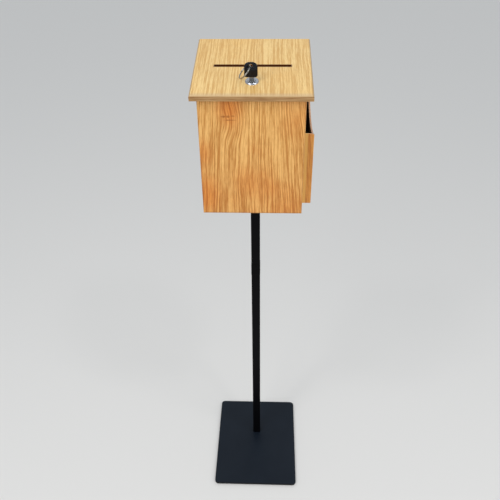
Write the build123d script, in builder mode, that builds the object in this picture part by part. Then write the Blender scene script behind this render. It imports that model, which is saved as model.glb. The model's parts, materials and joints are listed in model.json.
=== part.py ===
from build123d import *
from math import cos, radians, sin, sqrt, tan
import os

# Wooden ballot box with a sloping hinged lid, hung on the front of a square post
# that stands on a flat plate. Millimetres. Origin: centre of the underside of the
# base. +X right, +Y back, +Z up. The ballot side faces -Y.

# Base
base_width = 220.0
base_depth = 280.0
base_thickness = 5.0
base_corner_radius = 10.0
base_edge_chamfer = 0.7
pad_thickness = 1.5
pad_inset = 2.0

# Post
post_side = 20.0
post_wall = 1.5
post_corner_radius = 1.5
post_top_drop = 34.0
post_set_back = 36.5
foot_height = 25.0
foot_fit = 0.1
cap_height = 3.0
cap_edge_chamfer = 1.2
cap_plug_depth = 12.0
cap_rib_count = 2
cap_rib_height = 1.6
cap_rib_depth = 0.6
foot_bolt_radius = 4.0
foot_bolt_head_radius = 7.5
foot_bolt_length = 22.0
bolt_fit = 0.1
foot_bolt_socket_radius = 2.8
foot_bolt_socket_depth = 2.4

# Box
box_width = 179.0
box_depth = 178.0
box_back_height = 251.0
box_bottom_height = 884.5
panel_thickness = 9.0
bottom_recess = 4.0
bottom_thickness = 6.0
panel_edge_radius = 1.0

# Lid
lid_slope = 10.3
lid_length = 190.0
lid_thickness = 10.0
lid_side_overhang = 11.0
lid_edge_radius = 3.0
lid_gap = 0.3
slot_length = 132.0
slot_width = 7.0
slot_from_front = 95.0

# Card pocket on the right side
pocket_width = 14.0
pocket_skin = 3.0
pocket_front_set_back = 23.5
pocket_lift = 8.5
pocket_floor_thickness = 6.0
pocket_height = 138.0
pocket_side_dip = 17.0
pocket_edge_chamfer = 0.6
pocket_corner_radius = 2.0

# Hinges
hinge_spread = 112.0
hinge_width = 38.0
knuckle_count = 3
knuckle_gap = 0.25
leaf_thickness = 1.2
pin_radius = 1.2
pin_fit = 0.05
knuckle_relief = 0.5
fixed_leaf_height = 20.0
lid_leaf_height = 8.6
leaf_corner_radius = 2.0
leaf_screw_spread = 24.0
leaf_screw_drop = 15.0
leaf_seat_gap = 0.05
hinge_screw_radius = 1.2
hinge_screw_head_radius = 2.2
hinge_screw_length = 8.0
screw_fit = 0.05
recess_length_share = 1.3
recess_width_share = 0.28
recess_depth_share = 0.2

# Cam lock in the lid
lock_from_front = 43.5
flange_radius = 11.5
flange_height = 3.0
flange_edge_rise = 1.5
flange_bevel_width = 1.7
barrel_radius = 9.5
barrel_length = 20.0
barrel_flat_width = 16.5
barrel_fit = 0.15
plug_radius = 6.2
plug_fit = 0.06
plug_tail_side = 7.0
plug_tail_length = 2.6
tail_fit = 0.05
nut_across_flats = 23.0
nut_thickness = 4.0
cam_length = 23.0
cam_width = 11.0
cam_thickness = 2.0
cam_tip_radius = 2.2
cam_clearance = 0.4
cam_screw_radius = 2.0
cam_screw_head_radius = 4.5
cam_screw_head_height = 2.4
cam_screw_length = 6.0

# Strike for the cam, on the inside of the front panel
strike_width = 40.0
strike_leg = 11.0
strike_drop = 18.0
strike_thickness = 2.0
strike_gap = 0.6
strike_screw_spread = 24.0
strike_screw_drop = 11.0
strike_screw_radius = 1.5
strike_screw_head_radius = 3.0
strike_screw_length = 8.0

# Key and its split ring
key_blade_thickness = 2.0
key_blade_width = 8.2
key_blade_insert = 18.0
key_tip_length = 3.0
key_neck = 5.2
key_fit = 0.12
key_notch_depth = 1.1
key_notch_pitch = 3.2
key_notch_count = 4
key_notch_width = 1.1
shallow_notch_share = 0.6
key_tip_share = 0.33
key_head_width = 22.0
key_head_height = 26.4
key_head_thickness = 4.6
key_head_corner_radius = 4.6
key_head_edge_chamfer = 0.9
key_head_offset = 1.4
key_tang_length = 13.0
key_hole_radius = 3.0
key_hole_drop = 5.6
ring_radius = 13.4
ring_wire_thickness = 1.24
ring_wire_width = 2.2
ring_lean = 42.0
ring_seat_gap = 0.3

# Bolts that hold the box on the post
mount_bolt_radius = 3.0
mount_bolt_head_radius = 6.0
mount_bolt_head_height = 3.4
mount_bolt_length = 18.0
mount_nut_across_flats = 10.0
mount_nut_thickness = 5.0
mount_low_bolt_height = 46.0
mount_bolt_pitch = 120.0
mount_socket_radius = 2.0
mount_socket_depth = 2.0

# One overrun serves every through cut. Screws are small and many, so they have few sides
overrun = 1.0
screw_sides = 12
screw_rim = 0.2

# Places that follow from the sizes above
slope = radians(lid_slope)
post_front = post_set_back - post_side / 2
box_back = post_front
box_front = box_back - box_depth
box_half = box_width / 2
inner_front = box_front + panel_thickness
inner_back = box_back - panel_thickness
inner_half = box_half - panel_thickness
plate_top = pad_thickness + base_thickness
lid_back_height = box_bottom_height + box_back_height
post_top = lid_back_height - post_top_drop
post_length = post_top - plate_top
lid_width = box_width + 2 * lid_side_overhang

# The lid's own plane: origin at the middle of its lower back edge, local x to the
# right, local y up the slope towards the back, local z out of the lid's top face
up_slope = Vector(0, cos(slope), sin(slope))
out_of_lid = Vector(0, -sin(slope), cos(slope))
lid_under = Plane(origin=(0, box_back, lid_back_height), x_dir=(1, 0, 0), z_dir=out_of_lid)
lid_top = lid_under.offset(lid_thickness)
slot_place = slot_from_front - lid_length
lock_place = lock_from_front - lid_length


def under_lid(y):
    """Height of the top edge of a panel that stands under the lid at depth y."""
    return lid_back_height - lid_gap / cos(slope) - (box_back - y) * tan(slope)


def lid_point(x, along, out):
    """Point in the lid's own plane, counted from its lower back edge."""
    return lid_under.from_local_coords(Vector(x, along, out))


def sloped_panel(y_front, y_back, x_centre, width, bottom):
    """Upright panel whose top edge follows the lid."""
    with BuildPart() as panel:
        with BuildSketch(Plane.YZ.offset(x_centre)):
            with BuildLine():
                Polyline(
                    (y_front, bottom),
                    (y_back, bottom),
                    (y_back, under_lid(y_back)),
                    (y_front, under_lid(y_front)),
                    close=True,
                )
            make_face()
        extrude(amount=width / 2, both=True)
    return panel.part


def screw_blank(radius, head_radius, length):
    """Countersunk screw of few sides along -Z, its head's flat face at the origin."""
    with BuildPart() as blank:
        with BuildSketch():
            RegularPolygon(head_radius, screw_sides, major_radius=False)
        extrude(amount=radius - head_radius - screw_rim)
        chamfer(blank.faces().sort_by(Axis.Z)[0].edges(), head_radius - radius)
        with BuildSketch():
            RegularPolygon(radius, screw_sides, major_radius=False)
        extrude(amount=-length)
    return blank.part


def screw_body(seats, radius, head_radius, length):
    """Slotted countersunk screws. Each seat's z axis points out of the head."""
    with BuildPart() as screws:
        with Locations(*seats):
            add(screw_blank(radius, head_radius, length))
            Box(
                head_radius * recess_length_share,
                head_radius * recess_width_share,
                head_radius * recess_depth_share,
                align=(Align.CENTER, Align.CENTER, Align.MAX),
                mode=Mode.SUBTRACT,
            )
    return screws.part


def screw_holes(seats, radius, head_radius, length, fit):
    """Countersunk holes for screws, cut from the part being built."""
    with Locations(*seats):
        add(screw_blank(radius + fit, head_radius + fit, length + fit), mode=Mode.SUBTRACT)


def save(part, name):
    """Label a finished piece and write its STEP file."""
    part.label = name
    export_step(part, f"parts/{name}.step")


os.makedirs("parts", exist_ok=True)

# Base pad: thin sheet under the whole plate
with BuildPart() as base_pad:
    with BuildSketch():
        RectangleRounded(
            base_width - 2 * pad_inset,
            base_depth - 2 * pad_inset,
            base_corner_radius - pad_inset,
        )
    extrude(amount=pad_thickness)
save(base_pad.part, "base_pad")

# Base plate: flat steel, softened top edge, countersunk from beneath for the foot bolt
foot_seat = Plane(origin=(0, post_set_back, pad_thickness), z_dir=(0, 0, -1))
with BuildPart() as base_plate:
    with BuildSketch(Plane.XY.offset(pad_thickness)):
        RectangleRounded(base_width, base_depth, base_corner_radius)
    extrude(amount=base_thickness)
    chamfer(base_plate.faces().sort_by(Axis.Z)[-1].edges(), base_edge_chamfer)
    screw_holes([foot_seat], foot_bolt_radius, foot_bolt_head_radius, foot_bolt_length, bolt_fit)
save(base_plate.part, "base_plate")

# Post: square tube, open at both ends, with two bolt holes in its front wall
mount_heights = [
    box_bottom_height + mount_low_bolt_height + step * mount_bolt_pitch for step in range(2)
]
post_inner_side = post_side - 2 * post_wall
with BuildPart() as post:
    with BuildSketch(Plane.XY.offset(plate_top)):
        with Locations((0, post_set_back)):
            RectangleRounded(post_side, post_side, post_corner_radius)
            Rectangle(post_inner_side, post_inner_side, mode=Mode.SUBTRACT)
    extrude(amount=post_length)
    for height in mount_heights:
        with Locations(Plane(origin=(0, post_front, height), z_dir=(0, -1, 0))):
            Hole(mount_bolt_radius + bolt_fit, depth=post_wall + overrun)
save(post.part, "post")

# Post foot: block fixed in the bottom of the tube, tapped for the foot bolt
with BuildPart() as post_foot:
    with BuildSketch(Plane.XY.offset(plate_top)):
        with Locations((0, post_set_back)):
            Rectangle(post_inner_side - 2 * foot_fit, post_inner_side - 2 * foot_fit)
            RegularPolygon(
                foot_bolt_radius + bolt_fit, screw_sides, major_radius=False, mode=Mode.SUBTRACT
            )
    extrude(amount=foot_height)
save(post_foot.part, "post_foot")

# Foot bolt: countersunk, driven from beneath the plate
with BuildPart() as foot_bolt:
    with Locations(foot_seat):
        add(screw_blank(foot_bolt_radius, foot_bolt_head_radius, foot_bolt_length))
    with BuildSketch(foot_seat):
        RegularPolygon(foot_bolt_socket_radius, 6)
    extrude(amount=-foot_bolt_socket_depth, mode=Mode.SUBTRACT)
save(foot_bolt.part, "foot_bolt")

# Post cap: moulded end plug with gripping ribs
with BuildPart() as post_cap:
    with BuildSketch(Plane.XY.offset(post_top)):
        with Locations((0, post_set_back)):
            RectangleRounded(post_side, post_side, post_corner_radius)
    extrude(amount=cap_height)
    chamfer(post_cap.faces().sort_by(Axis.Z)[-1].edges(), cap_edge_chamfer)
    cap_core_side = post_inner_side - 2 * foot_fit - 2 * cap_rib_depth
    with BuildSketch(Plane.XY.offset(post_top)):
        with Locations((0, post_set_back)):
            Rectangle(cap_core_side, cap_core_side)
    extrude(amount=-cap_plug_depth)
    rib_pitch = cap_plug_depth / cap_rib_count
    for rib in range(cap_rib_count):
        with BuildSketch(Plane.XY.offset(post_top - cap_plug_depth + rib * rib_pitch)):
            with Locations((0, post_set_back)):
                Rectangle(cap_core_side + 2 * cap_rib_depth, cap_core_side + 2 * cap_rib_depth)
        extrude(amount=cap_rib_height)
save(post_cap.part, "post_cap")

# Nuts fixed inside the post behind its front wall
with BuildPart() as post_nuts:
    for height in mount_heights:
        with BuildSketch(Plane(origin=(0, post_front + post_wall, height), z_dir=(0, 1, 0))):
            RegularPolygon(mount_nut_across_flats / 2, 6, major_radius=False)
            Circle(mount_bolt_radius + bolt_fit, mode=Mode.SUBTRACT)
        extrude(amount=mount_nut_thickness)
save(post_nuts.part, "post_nuts")

# Socket-head bolts inside the box
with BuildPart() as mount_bolts:
    for height in mount_heights:
        seat = Plane(origin=(0, inner_back, height), z_dir=(0, -1, 0))
        with BuildSketch(seat):
            Circle(mount_bolt_head_radius)
        extrude(amount=mount_bolt_head_height)
        with BuildSketch(seat.offset(mount_bolt_head_height)):
            RegularPolygon(mount_socket_radius, 6)
        extrude(amount=-mount_socket_depth, mode=Mode.SUBTRACT)
        with BuildSketch(seat):
            Circle(mount_bolt_radius)
        extrude(amount=-mount_bolt_length)
save(mount_bolts.part, "mount_bolts")

# The strike's shelf lies just above the cam when the lid is shut
cam_top_depth = barrel_length + cam_clearance
shelf_under_depth = cam_top_depth - strike_gap
shelf_corner = under_lid(inner_front) + lid_gap / cos(slope)
shelf_corner -= (shelf_under_depth - lid_thickness - strike_thickness) / cos(slope)
strike_bottom = shelf_corner - strike_drop
strike_seats = [
    Plane(
        origin=(side * strike_screw_spread / 2, inner_front + strike_thickness,
                shelf_corner - strike_screw_drop),
        z_dir=(0, 1, 0),
    )
    for side in (-1, 1)
]

# Front panel: full width, covers the ends of the side panels
with BuildPart() as front_panel:
    add(sloped_panel(box_front, inner_front, 0, box_width, box_bottom_height))
    fillet(front_panel.faces().sort_by(Axis.Y)[0].edges(), panel_edge_radius)
    screw_holes(
        strike_seats, strike_screw_radius, strike_screw_head_radius, strike_screw_length, screw_fit
    )
save(front_panel.part, "front_panel")

# Side panels between the front and the back
for side, name in ((-1, "left_side_panel"), (1, "right_side_panel")):
    side_centre = side * (box_half - panel_thickness / 2)
    side_panel = sloped_panel(inner_front, inner_back, side_centre, panel_thickness, box_bottom_height)
    save(side_panel, name)

# Hinge places, in the box frame: the pin runs along X just behind the back face
knuckle_inner = pin_radius + pin_fit
knuckle_outer = knuckle_inner + leaf_thickness
pin_y = box_back + leaf_seat_gap + knuckle_outer
pin_z = lid_back_height
hinge_centres = [-hinge_spread / 2, hinge_spread / 2]
fixed_leaf_outer = box_back + leaf_thickness
fixed_screw_seats = [
    Plane(
        origin=(centre + across * leaf_screw_spread / 2, fixed_leaf_outer, pin_z - leaf_screw_drop),
        z_dir=(0, 1, 0),
    )
    for centre in hinge_centres
    for across in (-1, 1)
]
lid_screw_seats = [
    Plane(
        origin=lid_point(centre + across * leaf_screw_spread / 2, leaf_thickness, lid_thickness / 2),
        z_dir=up_slope,
    )
    for centre in hinge_centres
    for across in (-1, 1)
]

# Back panel: bolted to the post, carries the fixed hinge leaves
with BuildPart() as back_panel:
    add(sloped_panel(inner_back, box_back, 0, box_width, box_bottom_height))
    fillet(back_panel.edges().filter_by(Axis.Z).group_by(Axis.Y)[-1], panel_edge_radius)
    screw_holes(
        fixed_screw_seats, hinge_screw_radius, hinge_screw_head_radius, hinge_screw_length, screw_fit
    )
    for height in mount_heights:
        with Locations(Plane(origin=(0, inner_back, height), z_dir=(0, -1, 0))):
            Hole(mount_bolt_radius + bolt_fit, depth=panel_thickness + overrun)
save(back_panel.part, "back_panel")

# Bottom panel, let in between the four walls
with BuildPart() as bottom_panel:
    with BuildSketch(Plane.XY.offset(box_bottom_height + bottom_recess)):
        with Locations((0, (inner_front + inner_back) / 2)):
            Rectangle(2 * inner_half, inner_back - inner_front)
    extrude(amount=bottom_thickness)
save(bottom_panel.part, "bottom_panel")

# Card pocket on the right side: floor, narrow front and back, and a scooped skin
pocket_front_y = box_front + pocket_front_set_back
pocket_bottom = box_bottom_height + pocket_lift
pocket_outer_x = box_half + pocket_width
pocket_top = pocket_bottom + pocket_height
pocket_middle_y = (pocket_front_y + box_back) / 2
with BuildPart() as pocket_floor:
    with BuildSketch(Plane.XY.offset(pocket_bottom)):
        with Locations((box_half + pocket_width / 2, (pocket_front_y + pocket_skin + inner_back) / 2)):
            Rectangle(pocket_width, inner_back - pocket_front_y - pocket_skin)
    extrude(amount=pocket_floor_thickness)
save(pocket_floor.part, "pocket_floor")

with BuildPart() as pocket_front:
    with BuildSketch(Plane.XY.offset(pocket_bottom)):
        with Locations((box_half + pocket_width / 2, pocket_front_y + pocket_skin / 2)):
            Rectangle(pocket_width, pocket_skin)
    extrude(amount=pocket_height)
    chamfer(
        pocket_front.faces().sort_by(Axis.Z)[-1].edges().filter_by(Axis.X),
        pocket_edge_chamfer,
    )
save(pocket_front.part, "pocket_front")

with BuildPart() as pocket_back:
    with BuildSketch(Plane.XY.offset(pocket_bottom)):
        with Locations((box_half + pocket_width / 2, (inner_back + box_back) / 2)):
            Rectangle(pocket_width, panel_thickness)
    extrude(amount=pocket_height)
    chamfer(
        pocket_back.faces().sort_by(Axis.Z)[-1].edges().filter_by(Axis.X),
        pocket_edge_chamfer,
    )
save(pocket_back.part, "pocket_back")

with BuildPart() as pocket_skin_panel:
    with BuildSketch(Plane.YZ.offset(pocket_outer_x)):
        with BuildLine():
            Polyline(
                (box_back, pocket_top),
                (box_back, pocket_bottom),
                (pocket_front_y, pocket_bottom),
                (pocket_front_y, pocket_top),
            )
            ThreePointArc(
                (pocket_front_y, pocket_top),
                (pocket_middle_y, pocket_top - pocket_side_dip),
                (box_back, pocket_top),
            )
        make_face()
    extrude(amount=pocket_skin)
    fillet(pocket_skin_panel.edges().filter_by(Axis.X).group_by(Axis.Z)[-1], pocket_corner_radius)
    chamfer(pocket_skin_panel.faces().sort_by(Axis.X)[-1].edges(), pocket_edge_chamfer)
save(pocket_skin_panel.part, "pocket_outer_panel")

# Lid: one board with rounded edges, the ballot slot and the lock hole
lock_under = Plane(origin=lid_point(0, lock_place, 0), x_dir=(1, 0, 0), z_dir=out_of_lid)
lock_face = lock_under.offset(lid_thickness)
with BuildPart() as lid_panel:
    with BuildSketch(lid_under):
        with Locations((0, -lid_length / 2)):
            Rectangle(lid_width, lid_length)
    extrude(amount=lid_thickness)
    top_face = lid_panel.faces().sort_by(Axis(lid_top.origin, out_of_lid))[-1]
    rounded_edges = top_face.edges().sort_by(Axis.Y)[:3]
    fillet(rounded_edges, lid_edge_radius)
    with BuildSketch(lid_under):
        with Locations((0, slot_place)):
            SlotOverall(slot_length, slot_width)
        with Locations((0, lock_place)):
            Circle(barrel_radius + barrel_fit)
    extrude(amount=lid_thickness, mode=Mode.SUBTRACT)
    screw_holes(
        lid_screw_seats, hinge_screw_radius, hinge_screw_head_radius, hinge_screw_length, screw_fit
    )
save(lid_panel.part, "lid_panel")


def knuckle_spans(centre, first, step):
    """Middle and width of every other knuckle along the pin."""
    pitch = hinge_width / knuckle_count
    start = centre - hinge_width / 2 + pitch / 2
    return [(start + index * pitch, pitch - knuckle_gap) for index in range(first, knuckle_count, step)]


def leaf_knuckles(spans):
    """Rolled knuckles around the pin."""
    for middle, width in spans:
        with BuildSketch(Plane.YZ.offset(middle)) as knuckle:
            with Locations((pin_y, pin_z)):
                Circle(knuckle_outer)
        extrude(knuckle.sketch, amount=width / 2, both=True)


def clear_for_knuckles(spans):
    """Room for the other leaf's knuckles, and the bore for the pin."""
    for middle, width in spans:
        with BuildSketch(Plane.YZ.offset(middle)) as room:
            with Locations((pin_y, pin_z)):
                Circle(knuckle_outer + knuckle_relief)
        extrude(room.sketch, amount=width / 2 + knuckle_gap, both=True, mode=Mode.SUBTRACT)


def pin_bore():
    """Bore along the pin through everything built so far."""
    with BuildSketch(Plane.YZ) as bore:
        with Locations((pin_y, pin_z)):
            Circle(knuckle_inner)
    extrude(bore.sketch, amount=hinge_spread, both=True, mode=Mode.SUBTRACT)


# Fixed leaves on the back panel's outer face, with the odd knuckles
with BuildPart() as hinge_fixed_leaves:
    for centre in hinge_centres:
        leaf_plane = Plane(
            origin=(centre, box_back, pin_z - fixed_leaf_height / 2),
            x_dir=(1, 0, 0),
            z_dir=(0, 1, 0),
        )
        with BuildSketch(leaf_plane):
            Rectangle(hinge_width, fixed_leaf_height)
        extrude(amount=leaf_thickness)
    fillet(
        hinge_fixed_leaves.edges().filter_by(Axis.Y).group_by(Axis.Z)[0], leaf_corner_radius
    )
    screw_holes(
        fixed_screw_seats, hinge_screw_radius, hinge_screw_head_radius, hinge_screw_length, screw_fit
    )
    for centre in hinge_centres:
        clear_for_knuckles(knuckle_spans(centre, 1, 2))
        leaf_knuckles(knuckle_spans(centre, 0, 2))
    pin_bore()
save(hinge_fixed_leaves.part, "hinge_fixed_leaves")

# Moving leaves on the lid's back edge, with the even knuckles
with BuildPart() as hinge_lid_leaves:
    for centre in hinge_centres:
        leaf_plane = Plane(
            origin=lid_point(centre, 0, lid_leaf_height / 2),
            x_dir=(1, 0, 0),
            z_dir=up_slope,
        )
        with BuildSketch(leaf_plane):
            Rectangle(hinge_width, lid_leaf_height)
        extrude(amount=leaf_thickness)
    screw_holes(
        lid_screw_seats, hinge_screw_radius, hinge_screw_head_radius, hinge_screw_length, screw_fit
    )
    for centre in hinge_centres:
        clear_for_knuckles(knuckle_spans(centre, 0, 2))
        leaf_knuckles(knuckle_spans(centre, 1, 2))
    pin_bore()
save(hinge_lid_leaves.part, "hinge_lid_leaves")

# Hinge pins, flush with the outer knuckles
with BuildPart() as hinge_pins:
    for centre in hinge_centres:
        with BuildSketch(Plane.YZ.offset(centre)):
            with Locations((pin_y, pin_z)):
                Circle(pin_radius)
        extrude(amount=hinge_width / 2, both=True)
save(hinge_pins.part, "hinge_pins")

fixed_screws = screw_body(
    fixed_screw_seats, hinge_screw_radius, hinge_screw_head_radius, hinge_screw_length
)
save(fixed_screws, "hinge_fixed_screws")
lid_screws = screw_body(
    lid_screw_seats, hinge_screw_radius, hinge_screw_head_radius, hinge_screw_length
)
save(lid_screws, "hinge_lid_screws")

# Lock housing: bevelled flange on the lid, threaded barrel with two flats below
with BuildPart() as lock_housing:
    with BuildSketch(Plane(origin=lock_face.origin, x_dir=(1, 0, 0), z_dir=up_slope * -1)):
        with BuildLine():
            Polyline(
                (plug_radius + plug_fit, 0),
                (flange_radius, 0),
                (flange_radius, flange_edge_rise),
                (flange_radius - flange_bevel_width, flange_height),
                (plug_radius + plug_fit, flange_height),
                close=True,
            )
        make_face()
    revolve(axis=Axis(lock_face.origin, out_of_lid), revolution_arc=360)
    with BuildSketch(lock_face):
        Circle(barrel_radius)
        Rectangle(barrel_flat_width, 2 * barrel_radius, mode=Mode.INTERSECT)
        Circle(plug_radius + plug_fit, mode=Mode.SUBTRACT)
    extrude(amount=-barrel_length)
save(lock_housing.part, "lock_housing")

# Hexagon nut under the lid
with BuildPart() as lock_nut:
    with BuildSketch(lock_under):
        RegularPolygon(nut_across_flats / 2, 6, major_radius=False)
        Circle(barrel_radius + barrel_fit, mode=Mode.SUBTRACT)
    extrude(amount=-nut_thickness)
save(lock_nut.part, "lock_nut")

# Plug: turns in the housing, with the keyway in its face and a square tail
keyway_depth = key_blade_insert + key_fit
plug_face = lock_face.offset(flange_height)
tail_start = lock_face.offset(-barrel_length)
with BuildPart() as lock_plug:
    with BuildSketch(plug_face):
        Circle(plug_radius)
    extrude(amount=-(barrel_length + flange_height + cam_clearance))
    with BuildSketch(tail_start.offset(-cam_clearance)):
        Rectangle(plug_tail_side, plug_tail_side)
    extrude(amount=-(cam_thickness - tail_fit))
    with BuildSketch(plug_face):
        Rectangle(key_blade_width + 2 * key_fit, key_blade_thickness + 2 * key_fit)
    extrude(amount=-keyway_depth, mode=Mode.SUBTRACT)
    with BuildSketch(tail_start.offset(-cam_clearance - cam_thickness)):
        Circle(cam_screw_radius + screw_fit)
    extrude(amount=cam_screw_length + plug_tail_length, mode=Mode.SUBTRACT)
save(lock_plug.part, "lock_plug")

# Cam: flat tongue, sideways at rest so that the lid is free to open
cam_plane = tail_start.offset(-cam_clearance)
with BuildPart() as lock_cam:
    with BuildSketch(cam_plane):
        Circle(cam_width / 2)
        with Locations((cam_length / 2, 0)):
            Rectangle(cam_length, cam_width)
        Rectangle(plug_tail_side + 2 * tail_fit, plug_tail_side + 2 * tail_fit, mode=Mode.SUBTRACT)
    extrude(amount=-cam_thickness)
    cam_end = lock_cam.faces().sort_by(Axis.X)[-1]
    fillet(cam_end.edges().filter_by(Axis(cam_plane.origin, out_of_lid)), cam_tip_radius)
save(lock_cam.part, "lock_cam")

with BuildPart() as cam_screw:
    with BuildSketch(cam_plane.offset(-cam_thickness)):
        Circle(cam_screw_head_radius)
    extrude(amount=-cam_screw_head_height)
    with BuildSketch(cam_plane.offset(-cam_thickness)):
        Circle(cam_screw_radius)
    extrude(amount=cam_screw_length)
save(cam_screw.part, "cam_screw")

# Strike: bent plate whose shelf stops the turned cam
with BuildPart() as strike_bracket:
    with BuildSketch(Plane.YZ):
        with BuildLine():
            shelf_rise = strike_leg * tan(slope)
            Polyline(
                (inner_front, shelf_corner),
                (inner_front + strike_leg, shelf_corner + shelf_rise),
                (inner_front + strike_leg, shelf_corner + shelf_rise - strike_thickness),
                (inner_front + strike_thickness,
                 shelf_corner + strike_thickness * tan(slope) - strike_thickness),
                (inner_front + strike_thickness, strike_bottom),
                (inner_front, strike_bottom),
                close=True,
            )
        make_face()
    extrude(amount=strike_width / 2, both=True)
    screw_holes(
        strike_seats, strike_screw_radius, strike_screw_head_radius, strike_screw_length, screw_fit
    )
save(strike_bracket.part, "strike_bracket")
strike_screws = screw_body(
    strike_seats, strike_screw_radius, strike_screw_head_radius, strike_screw_length
)
save(strike_screws, "strike_screws")

# Key: flat blade in the plug, moulded head face-on to the front
key_head_bottom = key_neck
key_head_top = key_head_bottom + key_head_height
key_plane = Plane(
    origin=lid_point(0, lock_place, lid_thickness + flange_height),
    x_dir=(1, 0, 0),
    z_dir=up_slope * -1,
)
with BuildPart() as key_blade:
    half_blade = key_blade_width / 2
    with BuildSketch(key_plane):
        with BuildLine():
            Polyline(
                (-half_blade, key_head_bottom + key_tang_length),
                (-half_blade, key_tip_length - key_blade_insert),
                (-half_blade * key_tip_share, -key_blade_insert),
                (half_blade * key_tip_share, -key_blade_insert),
                (half_blade, key_tip_length - key_blade_insert),
                (half_blade, key_head_bottom + key_tang_length),
                close=True,
            )
        make_face()
        first_notch = key_tip_length - key_blade_insert + key_notch_pitch / 2
        for side in (-1, 1):
            for index in range(key_notch_count):
                notch_y = first_notch + index * key_notch_pitch
                with Locations((side * half_blade, notch_y)):
                    deep = (index + side) % 2 == 0
                    notch_depth = key_notch_depth if deep else key_notch_depth * shallow_notch_share
                    Rectangle(2 * notch_depth, key_notch_width, mode=Mode.SUBTRACT)
    extrude(amount=key_blade_thickness / 2, both=True)
save(key_blade.part, "key_blade")

key_hole_height = key_head_top - key_hole_drop
with BuildPart() as key_head:
    with BuildSketch(key_plane):
        with Locations((-key_head_offset, key_head_bottom + key_head_height / 2)):
            RectangleRounded(key_head_width, key_head_height, key_head_corner_radius)
    extrude(amount=key_head_thickness / 2, both=True)
    broad_faces = key_head.faces().sort_by(Axis(key_plane.origin, up_slope))
    chamfer(broad_faces[0].edges() + broad_faces[-1].edges(), key_head_edge_chamfer)
    with BuildSketch(key_plane):
        with Locations((-key_head_offset, key_hole_height)):
            Circle(key_hole_radius)
    extrude(amount=key_head_thickness, both=True, mode=Mode.SUBTRACT)
    with BuildSketch(key_plane):
        with Locations((0, key_head_bottom + key_tang_length / 2)):
            Rectangle(key_blade_width + 2 * tail_fit, key_tang_length + 2 * tail_fit)
    extrude(amount=key_blade_thickness / 2 + tail_fit, both=True, mode=Mode.SUBTRACT)
save(key_head.part, "key_head")

# Split ring through the key's hole, leaning to the left on the head
ring_plane = Plane(
    origin=key_plane.from_local_coords(Vector(-key_head_offset, key_hole_height, 0)),
    x_dir=key_plane.x_dir,
    z_dir=key_plane.z_dir,
)
lean = radians(ring_lean)
ring_down = ring_plane.x_dir * -sin(lean) - out_of_lid * cos(lean)
ring_axis_dir = ring_plane.x_dir * cos(lean) - out_of_lid * sin(lean)
wall_reach = sqrt(key_hole_radius**2 - (ring_wire_width / 2) ** 2)
wire_sag = (key_head_thickness / 2) ** 2 / (2 * ring_radius)
ring_hang = wall_reach - ring_wire_thickness / 2 - wire_sag - ring_seat_gap
ring_centre = ring_plane.origin + ring_down * (ring_hang + ring_radius)
with BuildPart() as key_ring:
    with BuildSketch(Plane(origin=ring_centre, x_dir=ring_down, z_dir=up_slope)):
        with Locations((ring_radius, 0)):
            Rectangle(ring_wire_thickness, ring_wire_width)
    revolve(axis=Axis(ring_centre, ring_axis_dir), revolution_arc=360)
save(key_ring.part, "key_ring")
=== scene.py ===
import bmesh
import bpy
import json
from math import cos, pi, radians, sin
from mathutils import Matrix, Vector
from mathutils.geometry import tessellate_polygon


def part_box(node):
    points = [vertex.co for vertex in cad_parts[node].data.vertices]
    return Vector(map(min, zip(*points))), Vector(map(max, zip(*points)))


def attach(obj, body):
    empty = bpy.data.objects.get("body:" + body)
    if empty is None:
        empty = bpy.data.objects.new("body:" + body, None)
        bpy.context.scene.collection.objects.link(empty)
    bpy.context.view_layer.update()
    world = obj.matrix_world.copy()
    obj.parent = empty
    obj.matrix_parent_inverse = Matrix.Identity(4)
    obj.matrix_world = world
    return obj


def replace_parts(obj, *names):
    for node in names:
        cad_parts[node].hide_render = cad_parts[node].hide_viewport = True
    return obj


# Oak ballot box with a locked lid and a card pocket, on a black post stand.
# Lengths are in metres and angles in radians. +X is right, +Y is back, +Z is up.

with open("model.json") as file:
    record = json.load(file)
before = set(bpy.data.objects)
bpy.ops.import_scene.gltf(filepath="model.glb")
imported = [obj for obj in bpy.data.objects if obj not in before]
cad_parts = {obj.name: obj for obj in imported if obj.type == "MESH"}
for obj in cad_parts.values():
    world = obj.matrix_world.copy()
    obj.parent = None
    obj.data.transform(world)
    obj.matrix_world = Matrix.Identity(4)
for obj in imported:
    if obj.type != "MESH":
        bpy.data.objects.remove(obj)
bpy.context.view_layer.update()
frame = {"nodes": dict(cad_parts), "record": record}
nodes = frame["nodes"]


def tone(red, green, blue):
    """Linear colour from display values of 0 to 255."""
    linear = []
    for value in (red, green, blue):
        share = value / 255
        linear.append(share / 12.92 if share <= 0.04045 else ((share + 0.055) / 1.055) ** 2.4)
    return (*linear, 1.0)


# Camera: its place, its turns, and its lens and sensor in millimetres
camera_place = (0.031899, -1.060419, 1.464419)
camera_yaw = 0.0409966
camera_pitch = 0.6300737
camera_roll = -0.0131151
camera_lens = 42.384
camera_sensor = 36.0

# Lid: its slope, and the directions out of its face, up its slope and along its front edge
lid_slope = radians(10.3)
out_of_lid = Vector((0.0, -sin(lid_slope), cos(lid_slope)))
up_slope = Vector((0.0, cos(lid_slope), sin(lid_slope)))
rightward = Vector((1.0, 0.0, 0.0))

# Lock housing: domed flange, and a threaded barrel with two flats
lock_place = Vector((0.0, -0.119964, 1.122096))
flange_radius = 0.0115
flange_height = 0.003
flange_side = 0.0004
flange_dome = 0.0026
flange_rim = 0.0007
flange_dome_steps = 6
bore_radius = 0.00626
barrel_radius = 0.0095
barrel_length = 0.020
barrel_flat = 0.00825
barrel_top = -0.0001
housing_steps = 96

# One turn of the barrel's thread, as shares of its pitch and of its depth
thread_pitch = 0.0014
thread_depth = 0.00045
thread_turn = ((0.2, 1.0), (0.5, 0.0), (0.8, 1.0))

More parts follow.
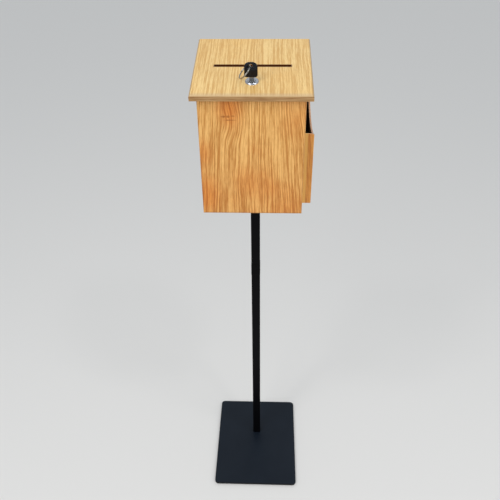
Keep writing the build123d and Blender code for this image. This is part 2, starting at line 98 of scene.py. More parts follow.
# Key head: slab with rounded edges and a hole, and a raised panel on both faces
head_width = 0.022
head_height = 0.0264
head_thickness = 0.0046
head_rim_thickness = 0.0034
head_corner = 0.0040
head_top_corner = 0.0085
head_round = 0.0013
head_round_steps = 6
head_offset = -0.0014
head_lift = 0.0052
head_sharp_angle = radians(35.0)
head_hole_radius = 0.003
head_hole_drop = 0.0056
head_hole_rim = 0.0005
head_hole_steps = 40
head_panel_width = 0.0142
head_panel_height = 0.0136
head_panel_lift = 0.0034
head_panel_corner = 0.0032
head_panel_round = 0.0012

# Post: square tube in two lengths, the lower one with a flared rim where they join
post_set_back = 0.0365
post_side = 0.020
post_corner = 0.0015
joint_height = 0.6285
joint_flare = 0.0004
joint_rim = 0.030
joint_chamfer = 0.0006
joint_depth = 0.0012
joint_sharp_angle = radians(20.0)
joint_gap = 0.0012
joint_gap_tone = tone(0, 0, 0)

# Split ring: two close coils of round wire, which crosses over quickly between them
ring_radius = 0.0134
ring_wire = 0.00055
ring_coil_offset = 0.00055
ring_lean = radians(42.0)
ring_start = radians(150.0)
ring_crossing = 14.0
ring_coils = 2
ring_steps = 96
ring_wire_steps = 5

# Each noise below is given as scale, detail and roughness.
# Each fade is given as start and end, and as the shares there unless these are 0 and 1.

# Oak: how much depth counts beside width, and the slow and quick bends of the lines
grain_depth_share = 0.9
slow_noise = (5.0, 1.0, 0.5)
slow_bend = (0.0, 1.0, -0.006, 0.006)
quick_noise = (30.0, 2.0, 0.5)
quick_stretch = (1.0, 1.0, 0.3)
quick_bend = (0.0, 1.0, -0.001, 0.001)

# Fan of the box's grain: the place it opens from, and how far it opens down to the foot
fan_middle = 0.012
fan_spread = (1.12, 0.88, 1.0, 1.22)

# Warm patches, and more of them towards the box's foot
warm_noise = (11.0, 3.0, 0.5)
warm_patches = (0.5, 0.75, 0.0, 0.5)
warm_foot = (1.07, 0.9, 0.0, 0.22)

# The front panel's marks and eyes lie in front of this depth
front_inside = -0.1405

# Eyes in the front's grain: x, z, reach, sideways push of the lines, and warmth
grain_eyes = (
    (-0.037, 1.092, 0.036, 0.001, 0.85),
    (-0.030, 1.062, 0.032, -0.007, 0.15),
    (0.076, 1.100, 0.060, 0.006, 0.1),
    (-0.084, 1.005, 0.026, 0.001, 0.60),
    (-0.078, 0.925, 0.032, -0.001, 0.42),
    (-0.012, 0.950, 0.034, 0.002, 0.4),
    (0.020, 0.940, 0.040, -0.002, 0.35),
)

# An eye reaches further along the grain than across it
eye_stretch = 5 / 3

# Short dark marks across the front's grain: x, z, half width and half height
grain_marks = (
    (-0.0466, 1.0718, 0.0055, 0.0024),
    (-0.0387, 1.0718, 0.0036, 0.0030),
    (-0.0310, 1.0728, 0.0050, 0.0012),
    (-0.0356, 1.0657, 0.0130, 0.0012),
)
mark_fade = (1.0, 0.4)
mark_ragged = (0.3, 0.7, 0.4, 1.0)
mark_tone = tone(146, 84, 32)

# Kinds of line in the oak: how slowly they change along the grain, and their noise
line_noises = {
    "wide": (0.02, (70.0, 2.0, 0.5)),
    "middle": (0.02, (420.0, 1.0, 0.4)),
    "close": (0.08, (640.0, 2.0, 0.5)),
    "pores": (0.08, (1300.0, 2.0, 0.6)),
}

# Part of each kind of line in the pale streaks: its fade and its share
streak_parts = (
    ("wide", (0.34, 0.66), 0.1),
    ("middle", (0.36, 0.64), 0.6),
    ("close", (0.36, 0.64), 0.3),
)
pore_fade = (0.56, 0.7, 0.0, 0.3)
pore_tone = tone(140, 90, 44)

# Edges of the boards: their own lines, and how a face's turn tells them from the sheet
edge_noise = (380.0, 3.0, 0.6)
edge_stretch = 0.06
edge_line_fade = (0.35, 0.65)
edge_side_fade = (0.3, 0.7)
panel_edge_fade = (0.6, 0.9)
lid_edge_fade = (0.7, 0.4)

# Lid: grey on its rounded edges and near its front, partly wear and partly painted highlight and
# shade, and painted shade along its sides
lid_corner_fade = (0.985, 0.85)
lid_corner_share = 0.85
lid_corner_wear_and_painted_light_tone = tone(190, 162, 120)
lid_front_wear_and_painted_shade = (0.0500, 0.0425, 0.0, 0.5)
lid_front_wear_and_painted_shade_tone = tone(186, 160, 128)
lid_side_painted_shade = (0.0974, 0.0995, 0.0, 0.5)
lid_side_painted_shade_tone = tone(152, 118, 72)

# Ballot slot: its place up the slope, how far its walls reach, painted dark as shade, and its
# darker rim, partly scorch and partly painted shade
slot_middle = 0.1339
slot_half_depth = 0.008
slot_half_width = 0.068
rim_painted_shade_and_scorch_up = (0.0048, 0.0039, 0.0, 0.75)
rim_painted_shade_and_scorch_side = (0.0674, 0.0664)
slot_painted_shade_and_scorch_tone = tone(84, 42, 16)

# Box: painted shade along its front corners and its foot
box_rim_painted_shade = (0.0872, 0.0892, 0.0, 0.45)
box_rim_painted_shade_front = (0.5, 0.9)
foot_painted_shade = (0.8880, 0.8852, 0.0, 0.4)
box_rim_painted_shade_tone = tone(140, 88, 40)

# Card pocket: painted light on its front strip towards the box, and painted shade inside it
strip_painted_light = (0.0975, 0.0950, 0.0, 0.8)
strip_painted_light_tone = tone(236, 190, 104)
pocket_skin_inside = 0.1036
pocket_front_inside = -0.1251
pocket_back_inside = 0.0176
pocket_floor_inside = 0.8940
pocket_painted_shade_tone = tone(34, 16, 6)

# Lacquer on the oak: glossier on close lines, duller in smudges, and shallow pores
lacquer_rough = (0.3, 0.7, 0.40, 0.32)
smudge_noise = (40.0, 4.0, 0.65)
smudge_rough = (0.45, 0.7, 0.0, 0.12)
lacquer_line_share = 0.4
lacquer_bump = 0.00006
lacquer_shine = 0.35

# Powder coat: its fine texture, clouds of dust, and painted shade on faces that turn sideways,
# told by a face's turn
coat_noise = (1600.0, 2.0, 0.5)
coat_bump = 0.00004
coat_rough = (0.3, 0.7, 0.32, 0.42)
dust_noise = (14.0, 3.0, 0.6)
dust_fade = (0.35, 0.75, 0.0, 0.5)
coat_side_painted_shade_fade = (0.9, 0.6)

# Metal: brushed lines, and duller handling marks
brush_noise = (1400.0, 3.0, 0.6)
brush_bump = 0.00001
brush_bump_strength = 0.3
handling_noise = (160.0, 4.0, 0.65)
handling_fade = (0.5, 0.8, 0.0, 0.6)
handling_rough = (0.3, 0.8)
handling_rough_gain = 0.12

# Moulded plastic: hairline scratches down the key head, and a slight haze
scratch_noise = (900.0, 3.0, 0.6)
scratch_stretch = (1.0, 1.0, 0.1)
scratch_fade = (0.62, 0.75, 0.0, 0.4)
haze_noise = (220.0, 3.0, 0.6)
haze_bump = 0.00002
haze_bump_strength = 0.4
haze_rough = (0.3, 0.8, 0.07, 0.16)
plastic_shine = 0.25

# Foam: the number of cells to a metre, their depth and the sheet's roughness
foam_cells = 1800.0
foam_bump = 0.00015
foam_rough = 0.9

# Studio: pale floor, lamps as name, place, width, height and power, and the world's light
floor_reach = 40.0
floor_tone = tone(222, 219, 215)
floor_rough = 0.6
lamp_aim = Vector((0.0, -0.06, 1.0))
lamps = (
    ("key_light", (-1.3, -1.9, 2.4), 1.6, 1.6, 26.0),
    ("side_light", (1.9, -1.2, 1.6), 1.0, 1.6, 12.0),
    ("left_lamp", (-0.75, -0.9, 2.6), 0.22, 0.22, 4.0),
    ("right_lamp", (0.7, -0.9, 2.6), 0.22, 0.22, 4.0),
)
world_colour = (0.9, 0.95, 1.0, 1.0)
world_ramp_values = {"From Min": -0.1, "From Max": 1.0, "To Min": 0.5, "To Max": 0.85}


class Paint:
    """One material's node tree, with short calls to add nodes and join them."""

    def __init__(self, name):
        self.material = bpy.data.materials.new(name)
        self.material.use_nodes = True
        self.tree = self.material.node_tree
        self.tree.nodes.clear()
        output = self.tree.nodes.new("ShaderNodeOutputMaterial")
        self.shader = self.tree.nodes.new("ShaderNodeBsdfPrincipled")
        self.tree.links.new(self.shader.outputs["BSDF"], output.inputs["Surface"])
        place = self.tree.nodes.new("ShaderNodeTexCoord")
        self.place = place.outputs["Object"]
        self.normal = place.outputs["Normal"]

    def feed(self, socket, value):
        """Joins a node's output to the socket, or sets the socket to a plain value."""
        if isinstance(value, bpy.types.NodeSocket):
            self.tree.links.new(value, socket)
        else:
            socket.default_value = value

    def add(self, kind, inputs, **settings):
        """New node with its settings and inputs."""
        node = self.tree.nodes.new("ShaderNode" + kind)
        for name, value in settings.items():
            setattr(node, name, value)
        for name, value in inputs.items():
            self.feed(node.inputs[name], value)
        return node

    def turned(self, vector, angles):
        """The vector turned about X, Y and Z."""
        return self.add("Mapping", {"Vector": vector, "Rotation": angles}).outputs[0]

    def scaled(self, vector, scale):
        """The vector scaled along X, Y and Z."""
        return self.add("Mapping", {"Vector": vector, "Scale": scale}).outputs[0]

    def split(self, vector):
        """The vector's X, Y and Z."""
        return self.add("SeparateXYZ", {0: vector}).outputs

    def join(self, x, y, z):
        """Vector of X, Y and Z."""
        return self.add("CombineXYZ", {0: x, 1: y, 2: z}).outputs[0]

    def noise(self, vector, scale, detail, roughness):
        """Smooth noise between 0 and 1."""
        inputs = {"Vector": vector, "Scale": scale, "Detail": detail, "Roughness": roughness}
        return self.add("TexNoise", inputs).outputs["Fac"]

    def math(self, operation, *values):
        """Result of an operation on one or two numbers."""
        return self.add("Math", dict(enumerate(values)), operation=operation).outputs[0]

    def plus(self, first, second):
        """Sum of two numbers."""
        return self.math("ADD", first, second)

    def minus(self, first, second):
        """First number less the second."""
        return self.math("SUBTRACT", first, second)

    def times(self, first, second):
        """Product of two numbers."""
        return self.math("MULTIPLY", first, second)

    def size(self, value):
        """The number without its sign."""
        return self.math("ABSOLUTE", value)

    def fade(self, value, start, end, at_start=0.0, at_end=1.0, curve="LINEAR"):
        """A number that goes from at_start to at_end as the value goes from start to end."""
        inputs = {
            "Value": value,
            "From Min": start,
            "From Max": end,
            "To Min": at_start,
            "To Max": at_end,
        }
        return self.add("MapRange", inputs, interpolation_type=curve).outputs[0]

    def blend(self, share, first, second):
        """Mix of two numbers."""
        return self.add("Mix", {0: share, 2: first, 3: second}).outputs[0]

    def mix(self, share, first, second):
        """Mix of two colours."""
        return self.add("Mix", {0: share, 6: first, 7: second}, data_type="RGBA").outputs[2]

    def bump(self, height, distance, strength=1.0):
        """Raises and lowers the surface by a height times a distance."""
        inputs = {"Height": height, "Distance": distance, "Strength": strength}
        self.feed(self.shader.inputs["Normal"], self.add("Bump", inputs).outputs[0])

    def set(self, **values):
        """Sets the shader's sockets, whose names have underscores for spaces."""
        for name, value in values.items():
            self.feed(self.shader.inputs[name.replace("_", " ")], value)
        return self.material


def spot_distance(paint, x, z, middle_x, middle_z, half_width, half_height):
    """Distance from the middle of a spot on the front, 1 at the spot's outline."""
    away = paint.join(paint.minus(x, middle_x), 0.0, paint.minus(z, middle_z))
    away = paint.scaled(away, (1.0 / half_width, 1.0, 1.0 / half_height))
    return paint.add("VectorMath", {0: away}, operation="LENGTH").outputs["Value"]


def bent_at_eyes(paint, x, z, front, across, warm_share):
    """Place across the grain and share of warm wood, as the front's eyes change them."""
    for eye_x, eye_z, reach, push, warmth in grain_eyes:
        distance = spot_distance(paint, x, z, eye_x, eye_z, reach, reach * eye_stretch)
        near = paint.times(paint.fade(distance, 1.0, 0.0, curve="SMOOTHERSTEP"), front)
        across = paint.plus(across, paint.times(near, push))
        warm_share = paint.plus(warm_share, paint.times(near, warmth))
    return across, warm_share


def grain_lines(paint, across, along):
    """Noise drawn out along the grain, for each kind of line."""
    lines = {}
    for kind, (along_share, noise) in line_noises.items():
        grain = paint.join(across, paint.times(along, along_share), 0.0)
        lines[kind] = paint.noise(grain, *noise)
    return lines


def marked(paint, wood, x, z, front, close_lines):
    """The wood with the front's short marks, ragged where the close lines are."""
    ragged = paint.fade(close_lines, *mark_ragged)
    for mark_x, mark_z, half_width, half_height in grain_marks:
        distance = spot_distance(paint, x, z, mark_x, mark_z, half_width, half_height)
        share = paint.times(paint.fade(distance, *mark_fade), ragged)
        wood = paint.mix(paint.times(share, front), wood, mark_tone)
    return wood


def board_edge(paint, place, normal_x, dark, light):
    """Plainer wood on the edges of a board, with lines along each edge."""
    lines_in_x = paint.noise(paint.scaled(place, (edge_stretch, 1.0, 1.0)), *edge_noise)
    lines_in_y = paint.noise(paint.scaled(place, (1.0, edge_stretch, 1.0)), *edge_noise)
    faces_side = paint.fade(paint.size(normal_x), *edge_side_fade)
    lines = paint.blend(faces_side, lines_in_x, lines_in_y)
    return paint.mix(paint.fade(lines, *edge_line_fade), dark, light)


def lid_colour(paint, wood, edge_wood, x, y, normal_z):
    """Lid: grey near its front and on its rounded edges, partly wear and partly painted light and
    shade, painted shade along its sides, and painted shade in and around its slot, partly scorch.
    """
    facing_out = paint.size(normal_z)
    edge_share = paint.fade(facing_out, *lid_edge_fade)
    corner_share = paint.minus(paint.fade(facing_out, *lid_corner_fade), edge_share)
    # Greyer near the front: partly wear, partly painted shade of the rounded front edge
    wood = paint.mix(paint.fade(y, *lid_front_wear_and_painted_shade), wood, lid_front_wear_and_painted_shade_tone)
    # Grey on the rounded edges: partly wear, partly the rounding's highlight and shade, painted
    wood = paint.mix(paint.times(corner_share, lid_corner_share), wood, lid_corner_wear_and_painted_light_tone)
    up_away = paint.size(paint.minus(y, slot_middle))
    side_away = paint.size(x)
    in_slot = paint.times(
        paint.math("LESS_THAN", up_away, slot_half_depth),
        paint.math("LESS_THAN", side_away, slot_half_width),
    )
    # The slot's walls are painted dark: painted shade inside the slot
    edge_wood = paint.mix(in_slot, edge_wood, slot_painted_shade_and_scorch_tone)
    # Darker rim around the slot: partly scorch, partly painted shade
    rim_painted_shade_and_scorch_share = paint.times(
        paint.fade(up_away, *rim_painted_shade_and_scorch_up),
        paint.fade(side_away, *rim_painted_shade_and_scorch_side),
    )
    wood = paint.mix(rim_painted_shade_and_scorch_share, wood, slot_painted_shade_and_scorch_tone)
    # Darker along the sides: painted shade on the lid's rounded side edges
    wood = paint.mix(paint.fade(side_away, *lid_side_painted_shade), wood, lid_side_painted_shade_tone)
    return paint.mix(edge_share, wood, edge_wood)


def box_colour(paint, wood, edge_wood, x, z, normal_y, normal_z):
    """Box: painted shade along its front corners and its foot."""
    faces_front = paint.fade(paint.size(normal_y), *box_rim_painted_shade_front)
    rim_painted_shade_share = paint.times(paint.fade(paint.size(x), *box_rim_painted_shade), faces_front)
    rim_painted_shade_share = paint.math("MAXIMUM", rim_painted_shade_share, paint.fade(z, *foot_painted_shade))
    # Painted shade on the front corners and the foot
    wood = paint.mix(rim_painted_shade_share, wood, box_rim_painted_shade_tone)
    return paint.mix(paint.fade(paint.size(normal_z), *panel_edge_fade), wood, edge_wood)


def pocket_colour(paint, wood, edge_wood, x, y, z, normal_z):
    """Card pocket: painted light on the strip next to the box, and painted shade inside."""
    colour = paint.mix(paint.fade(paint.size(normal_z), *panel_edge_fade), wood, edge_wood)
    # Painted light on the strip next to the box, where the front panel shades it
    colour = paint.mix(paint.fade(x, *strip_painted_light), colour, strip_painted_light_tone)
    # Painted shade inside the pocket
    limits = (
        ("LESS_THAN", x, pocket_skin_inside),
        ("GREATER_THAN", y, pocket_front_inside),
        ("LESS_THAN", y, pocket_back_inside),
        ("GREATER_THAN", z, pocket_floor_inside),
    )
    inside = 1.0
    for comparison, value, limit in limits:
        inside = paint.times(inside, paint.math(comparison, value, limit))
    return paint.mix(inside, colour, pocket_painted_shade_tone)


def oak(name, board, light, dark, warm_light, warm_dark, edge_light, edge_dark, contrast):
    """Lacquered oak veneer: growth lines, warm patches, fine pores, and a plainer edge."""
    paint = Paint(name)
    lid = board == "lid"
    place = paint.place
    normal = paint.normal
    if lid:
        level = (-lid_slope, 0.0, 0.0)
        place = paint.turned(place, level)
        normal = paint.turned(normal, level)
    x, y, z = paint.split(place)
    normal_x, normal_y, normal_z = paint.split(normal)

    # The lines run up the lid's slope or down the box, where they fan out towards the foot
    along = y if lid else z
    across = x
    if not lid:
        across = paint.math("DIVIDE", paint.minus(x, fan_middle), paint.fade(z, *fan_spread))
        across = paint.plus(across, paint.times(y, grain_depth_share))

    # They wander slowly and quickly, and bend around a few eyes
    slow = paint.noise(place, *slow_noise)
    quick = paint.noise(paint.scaled(place, quick_stretch), *quick_noise)
    across = paint.plus(across, paint.fade(slow, *slow_bend))
    across = paint.plus(across, paint.fade(quick, *quick_bend))
    warm_share = paint.fade(paint.noise(place, *warm_noise), *warm_patches)
    if not lid:
        front = paint.math("LESS_THAN", y, front_inside)
        warm_share = paint.plus(warm_share, paint.fade(z, *warm_foot))
        across, warm_share = bent_at_eyes(paint, x, z, front, across, warm_share)
    lines = grain_lines(paint, across, along)

    # Pale streaks between darker pores, in plain and warm wood
    streaks = 0.0
    for kind, line_fade, share in streak_parts:
        streaks = paint.plus(streaks, paint.times(paint.fade(lines[kind], *line_fade), share))
    streaks = paint.fade(streaks, 0.5 - contrast, 0.5 + contrast)
    plain_wood = paint.mix(streaks, dark, light)
    wood = paint.mix(warm_share, plain_wood, paint.mix(streaks, warm_dark, warm_light))
    pore_share = paint.fade(lines["pores"], *pore_fade)
    wood = paint.mix(pore_share, wood, pore_tone)
    if not lid:
        wood = marked(paint, wood, x, z, front, lines["close"])

    edge_wood = board_edge(paint, place, normal_x, edge_dark, edge_light)
    if lid:
        colour = lid_colour(paint, wood, edge_wood, x, y, normal_z)
    elif board == "pocket":
        colour = pocket_colour(paint, wood, edge_wood, x, y, z, normal_z)
    else:
        colour = box_colour(paint, wood, edge_wood, x, z, normal_y, normal_z)

    smudges = paint.noise(place, *smudge_noise)
    rough = paint.plus(
        paint.fade(lines["close"], *lacquer_rough),
        paint.fade(smudges, *smudge_rough),
    )
    height = paint.minus(paint.times(lines["middle"], lacquer_line_share), pore_share)
    paint.bump(height, lacquer_bump)
    return paint.set(Base_Color=colour, Roughness=rough, Specular_IOR_Level=lacquer_shine)


def powder_coat(name, base, dust, edge, shine, dark_line=None):
    """Fine-textured black powder coat with faint dust, painted shade on faces that turn sideways,
    and a joint's dark line.
    """
    paint = Paint(name)
    texture = paint.noise(paint.place, *coat_noise)
    cloud = paint.noise(paint.place, *dust_noise)
    facing_up = paint.size(paint.split(paint.normal)[2])
    colour = paint.mix(paint.fade(cloud, *dust_fade), base, dust)
    # Faces that turn sideways take the edge colour: painted shade
    colour = paint.mix(paint.fade(facing_up, *coat_side_painted_shade_fade), colour, edge)
    if dark_line:
        line_away = paint.size(paint.minus(paint.split(paint.place)[2], dark_line))
        in_line = paint.math("LESS_THAN", line_away, joint_gap / 2)
        colour = paint.mix(in_line, colour, joint_gap_tone)
    paint.bump(texture, coat_bump)
    rough = paint.fade(texture, *coat_rough)
    return paint.set(Base_Color=colour, Roughness=rough, Specular_IOR_Level=shine)


def metal(name, base, dull, roughness, brushing=0.0, stretch=(1.0, 1.0, 1.0)):
    """Plated metal with fine brushing and faint handling marks."""
    paint = Paint(name)
    lines = paint.noise(paint.scaled(paint.place, stretch), *brush_noise)
    marks = paint.noise(paint.place, *handling_noise)
    colour = paint.mix(paint.fade(marks, *handling_fade), base, dull)
    rough = paint.plus(
        paint.fade(marks, *handling_rough, roughness, roughness + handling_rough_gain),
        paint.times(lines, brushing),
    )
    paint.bump(lines, brush_bump, brush_bump_strength + brushing)
    return paint.set(Base_Color=colour, Roughness=rough, Metallic=1.0)


def moulded_plastic(name, base, worn):
    """Polished black moulding with hairline scratches."""
    paint = Paint(name)
    scratches = paint.noise(paint.scaled(paint.place, scratch_stretch), *scratch_noise)
    haze = paint.noise(paint.place, *haze_noise)
    colour = paint.mix(paint.fade(scratches, *scratch_fade), base, worn)
    paint.bump(haze, haze_bump, haze_bump_strength)
    rough = paint.fade(haze, *haze_rough)
    return paint.set(Base_Color=colour, Roughness=rough, Specular_IOR_Level=plastic_shine)


def foam(name, base, light):
    """Closed-cell foam sheet."""
    paint = Paint(name)
    cells = paint.add("TexVoronoi", {"Vector": paint.place, "Scale": foam_cells}).outputs[0]
    paint.bump(cells, foam_bump)
    return paint.set(Base_Color=paint.mix(cells, base, light), Roughness=foam_rough)


materials = {
    "oak_panel": oak(
        "oak_panel",
        board="panel",
        light=tone(237, 185, 111),
        dark=tone(187, 126, 56),
        warm_light=tone(220, 138, 58),
        warm_dark=tone(182, 100, 34),
        edge_light=tone(198, 160, 112),
        edge_dark=tone(170, 126, 80),
        contrast=0.31,
    ),
    # The lid's oak is paler and greyer than the box's: partly its own tone, partly painted sheen
    # of the light on its top
    "oak_lid": oak(
        "oak_lid",
        board="lid",
        light=tone(232, 197, 132),
        dark=tone(204, 158, 90),
        warm_light=tone(228, 182, 108),
        warm_dark=tone(206, 156, 84),
        edge_light=tone(184, 146, 98),
        edge_dark=tone(146, 104, 58),
        contrast=0.29,
    ),
    "oak_pocket": oak(
        "oak_pocket",
        board="pocket",
        light=tone(222, 160, 80),
        dark=tone(188, 118, 48),
        warm_light=tone(216, 140, 66),
        warm_dark=tone(190, 114, 46),
        edge_light=tone(214, 174, 136),
        edge_dark=tone(190, 140, 96),
        contrast=0.34,
    ),
    "foam_pad": foam("foam_pad", base=tone(22, 22, 24), light=tone(44, 44, 46)),
    # Base plate: bluish where it faces up, partly the coat's tone and partly painted reflection
    # of the sky, and near-black sides, painted shade
    "base_paint": powder_coat(
        "base_paint",
        base=tone(18, 25, 34),
        dust=tone(25, 32, 41),
        edge=tone(5, 5, 7),
        shine=0.16,
    ),
    "post_paint": powder_coat(
        "post_paint",
        base=tone(6, 6, 8),
        dust=tone(10, 10, 13),
        edge=tone(6, 6, 8),
        shine=0.06,
        dark_line=joint_height + joint_gap / 2,
    ),
    "black_plastic": moulded_plastic(
        "black_plastic",
        base=tone(12, 15, 22),
        worn=tone(36, 39, 46),
    ),
    "zinc_steel": metal(
        "zinc_steel",
        base=tone(196, 198, 202),
        dull=tone(158, 158, 160),
        roughness=0.24,
        brushing=0.05,
    ),
    "hinge_steel": metal(
        "hinge_steel",
        base=tone(206, 200, 188),
        dull=tone(164, 156, 142),
        roughness=0.22,
        brushing=0.12,
        stretch=(0.04, 1.0, 1.0),
    ),
    "lock_chrome": metal(
        "lock_chrome",
        base=tone(186, 188, 194),
        dull=tone(160, 162, 170),
        roughness=0.06,
    ),
    "nickel": metal(
        "nickel",
        base=tone(164, 162, 156),
        dull=tone(118, 115, 110),
        roughness=0.10,
        brushing=0.03,
    ),
}

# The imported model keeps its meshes; each node only takes its slot's material
slots = {part["node"]: part["material_slot"] for part in frame["record"]["subparts"]}
for node, piece in nodes.items():
    piece.data.materials.clear()
    piece.data.materials.append(materials[slots[node]])


def add_object(name, data):
    """New object in the scene."""
    added = bpy.data.objects.new(name, data)
    bpy.context.scene.collection.objects.link(added)
    return added


def new_piece(name, mesh_data, slot, body):
    """A finished mesh as a smooth piece of the object, riding on its body."""
    piece = add_object(name, mesh_data)
    for face in mesh_data.polygons:
        face.use_smooth = True
    mesh_data.materials.append(materials[slot])
    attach(piece, body)
    return piece


def mesh_from(name, vertices, faces):
    """Mesh of vertices, and of faces given by the numbers of their vertices."""
    mesh_data = bpy.data.meshes.new(name)
    mesh_data.from_pydata([tuple(vertex) for vertex in vertices], [], faces)
    mesh_data.update()
    return mesh_data


def quarter_turn(steps):
    """Angles from 0 to a quarter turn."""
    return [pi / 2 * step / steps for step in range(steps + 1)]


def lathe(name, origin, axis, start, profile, steps):
    """Closed profile of (radius, height) points turned about an axis."""
    vertices, faces = [], []
    for step in range(steps):
        angle = 2 * pi * step / steps
        direction = start * cos(angle) + axis.cross(start) * sin(angle)
        for radius, height in profile:
            vertices.append(origin + direction * radius + axis * height)
    count = len(profile)
    for step in range(steps):
        here = step * count
        there = (step + 1) % steps * count
        for index in range(count):
            after = (index + 1) % count
            faces.append((here + index, there + index, there + after, here + after))
    return mesh_from(name, vertices, faces)


def rounded_rectangle(width, height, corner, top_corner=None, middle=0.0, steps=8):
    """Points around a rectangle whose corners are rounded, the upper ones by top_corner."""
    points = []
    for quarter in range(4):
        side_x = 1 if quarter in (0, 3) else -1
        side_y = 1 if quarter in (0, 1) else -1
        radius = top_corner if top_corner and side_y == 1 else corner
        for step in range(steps + 1):
            angle = pi / 2 * (quarter + step / steps)
            point_x = side_x * (width / 2 - radius) + radius * cos(angle)
            point_y = middle + side_y * (height / 2 - radius) + radius * sin(angle)
            points.append((point_x, point_y))
    return points


def circle_points(radius, middle, steps):
    """Points around a circle."""
    angles = [2 * pi * step / steps for step in range(steps)]
    return [(radius * cos(angle), middle + radius * sin(angle)) for angle in angles]


class Shell:
    """Mesh made of closed loops of points, the skins between them and flat covers."""

    def __init__(self):
        self.vertices, self.faces = [], []

    def loop(self, places):
        """Closed loop through the places."""
        first = len(self.vertices)
        self.vertices += places
        return list(range(first, len(self.vertices)))

    def skin(self, loops):
        """Skin from each loop to the next."""
        for loop, other in zip(loops, loops[1:]):
            for index in range(len(loop)):
                after = (index + 1) % len(loop)
                self.faces.append((loop[index], loop[after], other[after], other[index]))

    def cover(self, loops):
        """Flat face inside the first loop and outside the others."""
        order = [index for loop in loops for index in loop]
        outlines = [[self.vertices[index] for index in loop] for loop in loops]
        for corners in tessellate_polygon(outlines):
            self.faces.append(tuple(order[corner] for corner in corners))

    def mesh(self, name):
        """The finished mesh, with its faces looking outward."""
        mesh_data = mesh_from(name, self.vertices, self.faces)
        shaped = bmesh.new()
        shaped.from_mesh(mesh_data)
        bmesh.ops.recalc_face_normals(shaped, faces=shaped.faces)
        shaped.to_mesh(mesh_data)
        shaped.free()
        return mesh_data


# Lock housing: its profile runs down the bore, up the thread and over the domed flange
flange_foot = lock_place - out_of_lid * flange_height
thread_foot_radius = barrel_radius - thread_depth
housing_profile = [
    (bore_radius, flange_height - flange_rim),
    (bore_radius, -barrel_length),
    (thread_foot_radius, -barrel_length),
]
for turn in range(int(barrel_length / thread_pitch)):
    turn_foot = -barrel_length + thread_pitch * turn
    for pitch_share, depth_share in thread_turn:
        radius = barrel_radius - thread_depth * depth_share
        housing_profile.append((radius, turn_foot + thread_pitch * pitch_share))
housing_profile += [
    (thread_foot_radius, 0.0),
    (flange_radius, 0.0),
    (flange_radius, flange_side),
]
for angle in quarter_turn(flange_dome_steps):
    radius = flange_radius - flange_dome + flange_dome * cos(angle)
    height = flange_side + (flange_height - flange_side) * sin(angle)
    housing_profile.append((radius, height))
housing_profile.append((bore_radius + flange_rim, flange_height))
housing = lathe("lock_flange", flange_foot, out_of_lid, rightward, housing_profile, housing_steps)
for vertex in housing.vertices:
    if (vertex.co - flange_foot).dot(out_of_lid) < barrel_top:
        vertex.co.x = max(-barrel_flat, min(barrel_flat, vertex.co.x))
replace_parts(new_piece("lock_flange", housing, "lock_chrome", "lid"), "lock_housing")

# Key head: loops around its outer edge, its hole and its panel, on both faces
head = Shell()
head_place = lock_place + out_of_lid * (head_lift + head_height / 2) + rightward * head_offset
hole_middle = head_height / 2 - head_hole_drop
panel_middle = head_panel_lift + head_panel_height / 2 - head_height / 2
panel_rise = (head_thickness - head_rim_thickness) / 2


def head_loop(points, depth):
    """Closed loop of (x, height) points at one depth through the head."""
    places = []
    for x, height in points:
        places.append(head_place + rightward * x + out_of_lid * height + up_slope * depth)
    return head.loop(places)


outer_loops, hole_loops = [], []
for side in (-1, 1):
    outer_side, hole_side, panel_side = [], [], []
    for angle in quarter_turn(head_round_steps):
        inset = head_round * (1 - sin(angle))
        depth = head_rim_thickness / 2 - head_round * (1 - cos(angle))
        outline = rounded_rectangle(
            head_width - 2 * inset,
            head_height - 2 * inset,
            head_corner - inset,
            head_top_corner - inset,
        )
        outer_side.append(head_loop(outline, side * depth))
        hole_radius = head_hole_radius + head_hole_rim * (1 - sin(angle))
        depth = head_rim_thickness / 2 - head_hole_rim * (1 - cos(angle))
        outline = circle_points(hole_radius, hole_middle, head_hole_steps)
        hole_side.append(head_loop(outline, side * depth))
    for angle in quarter_turn(head_round_steps):
        inset = head_panel_round * (1 - cos(angle))
        depth = head_rim_thickness / 2 + panel_rise * sin(angle)
        outline = rounded_rectangle(
            head_panel_width - 2 * inset,
            head_panel_height - 2 * inset,
            head_panel_corner - inset,
            middle=panel_middle,
        )
        panel_side.append(head_loop(outline, side * depth))
    for loops in (outer_side, hole_side, panel_side):
        head.skin(loops)
    head.cover([outer_side[0], hole_side[0], panel_side[0]])
    head.cover([panel_side[-1]])
    outer_loops.append(outer_side[-1])
    hole_loops.append(hole_side[-1])
head.skin(outer_loops)
head.skin(hole_loops)
head_mesh = head.mesh("moulded_head")
head_piece = new_piece("moulded_head", head_mesh, "black_plastic", "key")
head_mesh.set_sharp_from_angle(angle=head_sharp_angle)
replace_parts(head_piece, "key_head")

# Flared top of the post's lower length, as (outward, height) points from the joint
rim_profile = (
    (-joint_depth, -joint_rim),
    (0.0, -joint_rim),
    (joint_flare, -joint_rim + joint_chamfer),
    (joint_flare, -joint_chamfer),
    (joint_flare - joint_chamfer, 0.0),
    (-joint_depth, 0.0),
)
rim = Shell()
rim_loops = []
for outward, height in rim_profile:
    rim_side = post_side + 2 * outward
    rim_corner = max(post_corner + outward, post_corner / 4)
    outline = rounded_rectangle(rim_side, rim_side, rim_corner)
    places = [Vector((x, post_set_back + y, joint_height + height)) for x, y in outline]
    rim_loops.append(rim.loop(places))
rim.skin(rim_loops + rim_loops[:1])
rim_mesh = rim.mesh("post_joint_rim")
new_piece("post_joint_rim", rim_mesh, "post_paint", "stand_and_box")
rim_mesh.set_sharp_from_angle(angle=joint_sharp_angle)

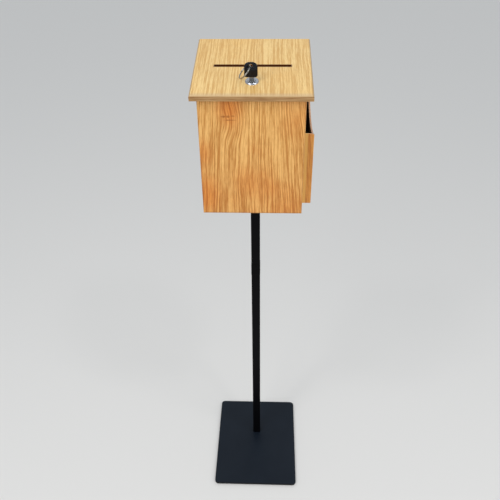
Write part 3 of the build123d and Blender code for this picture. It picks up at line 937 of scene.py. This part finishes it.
# Split ring: a wire that goes around twice and crosses over after its first turn
ring_low, ring_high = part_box("key_ring")
ring_centre = (ring_low + ring_high) / 2
ring_down = Vector((-sin(ring_lean), 0.0, 0.0)) - out_of_lid * cos(ring_lean)
ring_axis = ring_down.cross(up_slope)
ring_curve = bpy.data.curves.new("split_ring", "CURVE")
ring_curve.dimensions = "3D"
ring_curve.bevel_depth = ring_wire
ring_curve.bevel_resolution = ring_wire_steps
ring_curve.use_fill_caps = True
ring_spline = ring_curve.splines.new("POLY")
ring_spline.points.add(ring_coils * ring_steps)
for step, point in enumerate(ring_spline.points):
    turns = step / ring_steps
    angle = 2 * pi * turns + ring_start
    shift = ring_coil_offset * max(-1.0, min(1.0, (turns - 1.0) * ring_crossing))
    outward = ring_down * cos(angle) + up_slope * sin(angle)
    point.co = (*(ring_centre + outward * ring_radius + ring_axis * shift), 1.0)
ring_object = add_object("split_ring_curve", ring_curve)
ring_mesh = bpy.data.meshes.new_from_object(ring_object)
bpy.data.objects.remove(ring_object)
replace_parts(new_piece("split_ring", ring_mesh, "nickel", "key_ring"), "key_ring")

# Floor: plain and pale
floor_corners = [
    (-floor_reach, -floor_reach, 0.0),
    (floor_reach, -floor_reach, 0.0),
    (floor_reach, floor_reach, 0.0),
    (-floor_reach, floor_reach, 0.0),
]
floor_mesh = mesh_from("floor", floor_corners, [(0, 1, 2, 3)])
floor_paint = Paint("floor_paint")
floor_mesh.materials.append(floor_paint.set(Base_Color=floor_tone, Roughness=floor_rough))
floor = add_object("floor", floor_mesh)

# Lamps
for name, place, width, height, power in lamps:
    lamp_data = bpy.data.lights.new(name, "AREA")
    lamp_data.shape = "RECTANGLE"
    lamp_data.size = width
    lamp_data.size_y = height
    lamp_data.energy = power
    lamp = add_object(name, lamp_data)
    lamp.location = place
    lamp.rotation_euler = (lamp_aim - Vector(place)).to_track_quat("-Z", "Y").to_euler()

# The world is brightest overhead, so polished pieces have something to reflect
world = bpy.data.worlds.new("studio")
bpy.context.scene.world = world
world.use_nodes = True
world_tree = world.node_tree
world_place = world_tree.nodes.new("ShaderNodeTexCoord")
world_height = world_tree.nodes.new("ShaderNodeSeparateXYZ")
world_ramp = world_tree.nodes.new("ShaderNodeMapRange")
for socket, value in world_ramp_values.items():
    world_ramp.inputs[socket].default_value = value
background = world_tree.nodes["Background"]
background.inputs["Color"].default_value = world_colour
world_tree.links.new(world_place.outputs["Generated"], world_height.inputs[0])
world_tree.links.new(world_height.outputs["Z"], world_ramp.inputs["Value"])
world_tree.links.new(world_ramp.outputs[0], background.inputs["Strength"])

# Camera
camera_data = bpy.data.cameras.new("camera")
camera_data.lens = camera_lens
camera_data.sensor_width = camera_sensor
camera = add_object("camera", camera_data)
turn_about_up = Matrix.Rotation(camera_yaw, 4, "Z")
tilt = Matrix.Rotation(pi / 2 - camera_pitch, 4, "X")
roll = Matrix.Rotation(camera_roll, 4, "Z")
camera.matrix_world = Matrix.Translation(camera_place) @ turn_about_up @ tilt @ roll
bpy.context.scene.camera = camera
bpy.context.scene.view_settings.view_transform = "Standard"
